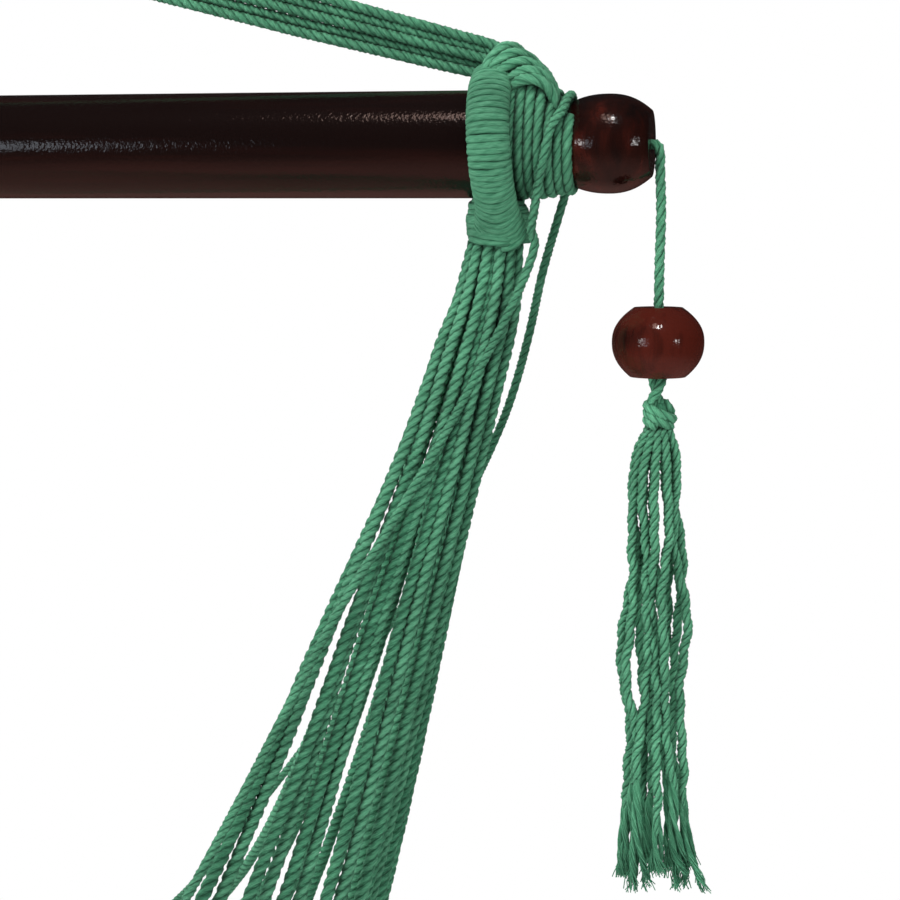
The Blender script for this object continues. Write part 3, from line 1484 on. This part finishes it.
@dataclass
class Tassel:
    """One tassel: its cord, bead, knot and skirt. Depths are measured down from the bar's middle."""

    side: Side
    palette: Palette
    x: float = 510.4
    bar_face: float = SpreaderBar.face_x
    bend: float = 2.4
    bead_drop: float = 58.4
    bead_height: float = 20.6
    bead_radius: float = 13.7
    bead_faces: tuple[float, float] = (8.3, 7.2)
    bead_bore: float = 2.4
    pivot: float = 76.0
    knot_bottom: float = 87.0
    hem: float = 222.0
    strands: int = 10
    threads: int = 36
    fray_overlap: float = 6.0
    stray: float = 6.0

    def __post_init__(self) -> None:
        """Start the tassel's own random numbers."""
        self.random = np.random.default_rng(7 if self.side is Side.RIGHT else 8)
        self.name = self.side.label

    def smooth(self, points: Sequence, lay: Lay) -> np.ndarray:
        """Draw a path through right-hand points at this end of the chair, at a lay's step."""
        return smooth_path(mirror(points, self.side), lay.step)

    def build(self) -> None:
        """Make every piece of the tassel."""
        bead = self.bead()
        cord, route = self.cord()
        loop, knot = self.loop(), self.knot()
        self.metres(route[0])
        self.length(route)
        [self.metres(p) for p in route]
        self.skirt()

    @staticmethod
    def metres(point: np.ndarray) -> list[float]:
        """Turn a point about the bar into metres in the part's frame."""
        return [float(point[0]) / 1000, float(point[1]) / 1000, (float(point[2]) - HOOK_HEIGHT) / 1000]

    @staticmethod
    def length(route: np.ndarray) -> float:
        """Measure a route in metres."""
        return float(np.linalg.norm(np.diff(route, axis=0), axis=1).sum()) * MILLIMETRE

    def cord(self) -> tuple[bpy.types.Object, np.ndarray]:
        """Make the cord from the bar's end to the knot.

        Returns:
            The piece and its path.
        """
        points = [(self.bar_face - 5, 0, 0), (self.bar_face - 1, 0, 0)]
        for angle in np.linspace(0.2, math.pi / 2, 5):
            points.append((self.bar_face + self.bend * math.sin(angle), 0, self.bend * (math.cos(angle) - 1)))
        bows = ((8, 0.1), (20, 0.5), (35, 0.2), (50, 0), (64, -0.9), (70, -1.2), (self.pivot + 2.0, 1.0))
        points += [(self.x + bow, 0, -depth) for depth, bow in bows]
        route = self.smooth(points, TASSEL_CORD)
        tubes = TubeMesh()
        tubes.rope(route, TASSEL_CORD, hint=Y_AXIS)
        return self.place(tubes, "line", "tassel", "cord"), route

    def place(self, tubes: TubeMesh, name: str, body: str, node: str) -> bpy.types.Object:
        """Place a cord piece of this tassel, given the short names of it, its body and its CAD node."""
        piece, node = f"tassel_{name}_{self.name}", f"tassel_{node}_{self.name}"
        return tubes.place(piece, f"{body}_{self.name}", self.palette.skirt, node)

    def loop(self) -> bpy.types.Object:
        """Make the second run of the cord between the bead and the knot.

        Returns:
            The piece.
        """
        top = self.bead_drop + self.bead_height / 2 - 4.0
        points = [(self.x + x, y, -depth) for x, y, depth in (
            (1.4, -0.4, top), (1.4, -0.7, 68), (0.9, -1.6, 71.5), (-1.2, -1.9, 75),
            (-1.6, -1.6, self.pivot + 3))]
        tubes = TubeMesh()
        tubes.rope(self.smooth(points, TASSEL_CORD), TASSEL_CORD, phase=1.0, hint=Y_AXIS, scale=0.98)
        return self.place(tubes, "fold", "tassel", "cord")

    def bead(self) -> bpy.types.Object:
        """Make the turned bead.

        Returns:
            The piece.
        """
        profile = bead_profile(self.bead_height, self.bead_radius, *self.bead_faces, self.bead_bore)
        centre = mirror((self.x, 0, -self.bead_drop - self.bead_height / 2), self.side)
        piece = lathe(f"tassel_bead_turned_{self.name}", profile, centre, Z_AXIS)
        return settle(piece, f"tassel_bead_{self.name}", self.palette.bead, f"tassel_bead_{self.name}")

    def knot(self) -> bpy.types.Object:
        """Make the knot: wraps on a leaning spiral, the end tucked behind them and a core.

        Returns:
            The piece.
        """
        turn = np.arange(-0.2, 2.3, 1 / 20)
        angle = FULL_TURN * turn
        wide = 3.5 + 0.4 * np.sin(3.1 * turn)
        z = -self.pivot - 2.6 - 2.2 * turn + 1.5 * np.cos(angle)
        wraps = np.column_stack([self.x + 0.6 - wide * np.cos(angle), -3.8 * np.sin(angle), z])
        tuck = [(self.x + x, y, -self.pivot + z) for x, y, z in (
            (0.0, 2.4, -1.4), (1.8, 1.6, -0.6), (3.2, 0.8, -1.8), (3.8, 1.2, -3.6), (3.0, 2.4, -5.2))]
        tubes = TubeMesh()
        for points in (wraps, tuck):
            tubes.rope(self.smooth(points, KNOT_CORD), KNOT_CORD)
        core = mirror([(self.x + 0.3, 0, -z) for z in np.linspace(self.pivot + 0.6, 92, 8)], self.side)
        radii = np.array([2.0, 2.8, 3.2, 3.3, 3.2, 3.0, 2.6, 1.6])
        tubes.round_tube(core, radii, sides=16, hint=Y_AXIS, crest=0.3)
        return self.place(tubes, "wrap", "tassel_skirt", "knot")

    def strand_route(self, k: int, radial: np.ndarray, sway: np.ndarray) -> np.ndarray:
        """Route a strand from the knot to where it frays: a spread from the tassel's middle line by
        depth, with slow waves and a fine crimp.

        Args:
            k: The strand's number.
            radial: The direction from the tassel's middle to the strand.
            sway: Six random numbers from -1 to 1.

        Returns:
            Its points, for the right-hand end.
        """
        depth = np.linspace(self.knot_bottom - 3.0, self.hem - 21 + 7 * sway[5], 48)
        t = np.maximum((depth - self.knot_bottom) / (self.hem - self.knot_bottom), 0.0)
        spread = np.interp(depth, [83, 86, 89.5, 93, 100, 112, 124, 142, 160, 178, 196, 210],
                           [2.4, 3.8, 5.6, 6.6, 7.3, 7.4, 7.4, 8.4, 8.6, 8.2, 10.0, 12.0])
        lean = np.interp(depth, [84, 95, 106, 124, 142, 160, 178, 196, 210],
                         [0.4, -0.5, -0.8, 0.2, 0.4, -0.9, 0.0, 0.5, 0.1])
        weight = np.minimum(1.0, 4 * t)
        wave_x = 1.3 * np.sin(8.5 * t + 3 * sway[0]) + 0.7 * np.sin(19 * t + 3 * sway[1])
        wave_y = 1.4 * np.sin(7.5 * t + 3 * sway[2]) + 0.8 * np.sin(17 * t + 3 * sway[3])
        crimp = depth / 1.7 + k
        x = self.x + lean + radial[0] * spread + weight * (wave_x + 0.3 * np.cos(crimp))
        y = 0.8 * radial[1] * spread + weight * (wave_y + 0.3 * np.sin(crimp))
        return np.column_stack([x, y, -depth])

    def skirt(self) -> None:
        """Make the skirt's strands, each a declared cord with a frayed end."""
        fray = TubeMesh()
        for k in range(self.strands):
            place = 0.96 * (2 * k + 1 - self.strands) / (self.strands - 1)
            radial = np.array([place, math.sqrt(1 - place * place) * (-1 if k % 2 else 1), 0])
            path = self.smooth(self.strand_route(k, radial, self.random.uniform(-1, 1, 6)), STRAND_CORD)
            tubes = TubeMesh()
            taper = np.interp(np.arange(len(path)), [len(path) - 9, len(path) - 1], [1.0, 0.5])
            tubes.rope(path, STRAND_CORD, phase=2.1 * k, hint=Y_AXIS, scale=taper)
            body = node = f"tassel_skirt_{self.name}"
            piece = tubes.place(f"tassel_strand_{self.name}_{k + 1}", body, self.palette.skirt, node)
            self.fray_end(fray, path, (self.stray if k == self.strands - 1 else 0.0) * radial)
        piece = fray.place(f"tassel_fray_{self.name}", body, self.palette.fray, node)

    def fray_end(self, fray: TubeMesh, path: np.ndarray, stray: np.ndarray) -> None:
        """Unlay a strand's end into three wavy plies of loose threads.

        Each ply is a widening spiral about the way on, and each thread a spiral inside its ply that
        splays at its foot.

        Args:
            fray: The mesh that they go into.
            path: The strand's own path, whose end they leave.
            stray: How far one of the plies wanders.
        """
        overlap = self.fray_overlap
        end, way = path[-1], unit(path[-1] - path[-9])
        down = unit(0.6 * way - Z_AXIS)
        foot = -self.hem + self.random.uniform(-4, 3)
        shares = np.linspace(0, 1, 13)
        wide = np.interp(shares, [0, 0.2, 0.6, 0.85, 1], [0.45, 0.72, 0.72, 1.0, 1.6])[:, None]
        for ply in range(3):
            turn = FULL_TURN * ply / 3 + self.random.uniform(0, 1)
            length = end[2] - foot - self.random.uniform(0, 2)
            swing = turn + 0.34 * length * shares * (1 - 0.35 * shares)
            spread = 0.85 - 0.5 * (1 - shares) ** 5 + self.random.uniform(0.2, 2.1) * shares**1.6
            out = np.stack([np.cos(swing), np.sin(swing), 0 * swing], axis=1)
            middle = end - overlap * way + out * spread[:, None] + down * (length + overlap) * shares[:, None]
            if ply == 0:
                middle = middle + stray * (shares**1.5)[:, None]
            sweep = self.random.normal(0, 1, 3) * (0.9, 0.9, 0.0)
            for _ in range(self.threads):
                place, size = self.random.uniform(0, FULL_TURN), math.sqrt(self.random.uniform(0, 1))
                curl = place + 0.5 * length * shares
                section = size * np.stack([np.cos(curl), np.sin(curl), 0 * curl], axis=1)
                splay = sweep + self.random.normal(0, 1, 3) * (1.0, 1.0, 0.0)
                reach = shares * self.random.uniform(0.84, 1.0)
                thread = sample(reach, shares, middle) + section * wide + (reach**6)[:, None] * splay
                thread[:, 2] = np.maximum(thread[:, 2], -self.hem - 2.0)
                shade = self.random.uniform(0.1, 0.8) + (0.5 if self.random.uniform() < 0.2 else 0.0)
                fray.round_tube(thread, np.linspace(0.22, 0.14, 13), sides=4, hint=Y_AXIS, crest=shade)


@dataclass(frozen=True)
class SoftBox:
    """An oval soft light.

    Attributes:
        name: Its name.
        place: Where it hangs, in metres.
        target: The point that it faces.
        power: Its power in watts.
        width: Its width in metres, which is less than its height.
        tint: Its colour.
    """

    name: str
    place: tuple[float, float, float]
    target: tuple[float, float, float]
    power: float
    width: float
    tint: tuple[float, float, float] = (1.0, 1.0, 1.0)

    def build(self) -> None:
        """Hang the light."""
        data = bpy.data.lights.new(self.name, "AREA")
        data.color = self.tint
        data.shape = "ELLIPSE"
        data.energy = self.power
        data.size = self.width
        data.size_y = 1.8 * self.width
        light = add_object(self.name, data)
        light.location = self.place
        light.rotation_euler = (Vector(self.target) - Vector(self.place)).to_track_quat("-Z", "Y").to_euler()


@dataclass(frozen=True)
class Stage:
    """The floor, the light and the camera, which stands where the photograph was taken from."""

    camera_place: tuple[float, float, float] = (584.3, -644.7, -17.05)
    yaw: float = math.radians(12.0)
    pitch: float = math.radians(6.5)
    focal_pixels: float = 2178.0
    picture_pixels: float = 900.0
    film_width: float = 36.0
    soft_boxes: tuple[SoftBox, ...] = (
        SoftBox("top", (0.62, -0.85, 1.05), (0.48, 0, -0.25), 6.0, 0.12),
        SoftBox("bar", (0.42, -0.75, 1.05), (0.42, 0, -0.25), 1.1, 0.24, (1.0, 0.66, 0.56)),
        SoftBox("left", (-0.3, -1.05, -0.2), (0.45, 0, -0.25), 1.2, 0.13),
        SoftBox("front", (-0.22, -1.5, -0.22), (0.3, 0, -0.25), 0.9, 0.26, (0.8, 0.89, 1.0)),
        SoftBox("right", (1.75, -0.95, -0.15), (0.5, 0, -0.25), 2.0, 0.13),
    )

    def build(self) -> None:
        """Make the whole stage."""
        self.camera()
        self.world()
        self.floor()
        for box in self.soft_boxes:
            box.build()
        bpy.context.scene.view_settings.view_transform = "Standard"

    def camera(self) -> None:
        """Stand the camera near the bar's right-hand end."""
        back = np.array([
            math.sin(self.yaw) * math.cos(self.pitch),
            -math.cos(self.yaw) * math.cos(self.pitch),
            math.sin(self.pitch),
        ])
        right = np.array([math.cos(self.yaw), math.sin(self.yaw), 0.0])
        data = bpy.data.cameras.new("camera")
        data.sensor_width = self.film_width
        data.lens = self.film_width * self.focal_pixels / self.picture_pixels
        data.clip_start = 0.02
        camera = add_object("camera", data)
        turn = Matrix((right, np.cross(back, right), back)).transposed().to_4x4()
        camera.matrix_world = Matrix.Translation(Vector(in_frame(np.array(self.camera_place)))) @ turn
        bpy.context.scene.camera = camera

    def world(self) -> None:
        """Show the camera a white surround, and light the object with a softer one that reflects darkly."""
        world = bpy.data.worlds.new("studio")
        world.use_nodes = True
        world.node_tree.nodes.clear()
        nodes = NodeTree(world.node_tree)
        way = nodes.add("TexCoord").outputs["Generated"]
        toward = nodes.add("VectorMath", {0: way, 1: (-0.55, -0.25, 0.4)}, operation="DOT_PRODUCT")
        level = nodes.math("ADD", toward.outputs["Value"], 0.93)
        height = nodes.add("SeparateXYZ", {"Vector": way}).outputs["Z"]
        glow = nodes.ramp(nodes.span(height, -1.0, 1.0, 0.0, 1.0), [
            (0.08, (0.55, 0.27, 0.23)), (0.3, (0.12, 0.055, 0.045)), (0.52, (0.014, 0.009, 0.008)),
            (0.95, (0.010, 0.010, 0.011))])
        white, pale = (1.0, 1.0, 1.0, 1.0), (0.96, 0.98, 1.0, 1.0)
        seen, felt, mirrored = (
            nodes.add("Background", {"Color": colour, "Strength": strength}).outputs[0]
            for colour, strength in ((white, 1.0), (pale, level), (glow, 1.0)))
        rays = nodes.add("LightPath").outputs
        dull = nodes.add("MixShader", {0: rays["Is Glossy Ray"], 1: felt, 2: mirrored}).outputs[0]
        mix = nodes.add("MixShader", {0: rays["Is Camera Ray"], 1: dull, 2: seen}).outputs[0]
        nodes.add("OutputWorld", {"Surface": mix})
        bpy.context.scene.world = world

    def floor(self) -> None:
        """Lay a pale round floor well under the seat."""
        mesh = bpy.data.meshes.new("floor")
        disc = bmesh.new()
        bmesh.ops.create_circle(disc, cap_ends=True, segments=96, radius=2.2)
        bmesh.ops.translate(disc, verts=disc.verts, vec=(0, 0, -1.55))
        disc.to_mesh(mesh)
        disc.free()
        material, nodes, shader = new_material("floor")
        nodes.fill(shader, {"Base Color": (0.86, 0.86, 0.85, 1.0), "Roughness": 0.9})
        mesh.materials.append(material)
        floor = add_object("floor", mesh)
        floor.visible_glossy = False


def main() -> None:
    """Dress the frame, set the stage and hand the scene over."""
    logging.basicConfig(level=logging.INFO, format="%(name)s: %(message)s")
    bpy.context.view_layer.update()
    Stage().build()
    palette = Palette()
    for side in Side:
        Tassel(side, palette).build()
    ropes = SuspensionRopes()
    for part in (SpreaderBar(), ropes, EndLoops(), ArmCords(), SeatNet(), EdgeCord(), Lashings()):
        part.build(palette)
    ropes.build_whippings(palette)


if __name__ == "__main__":
    main()
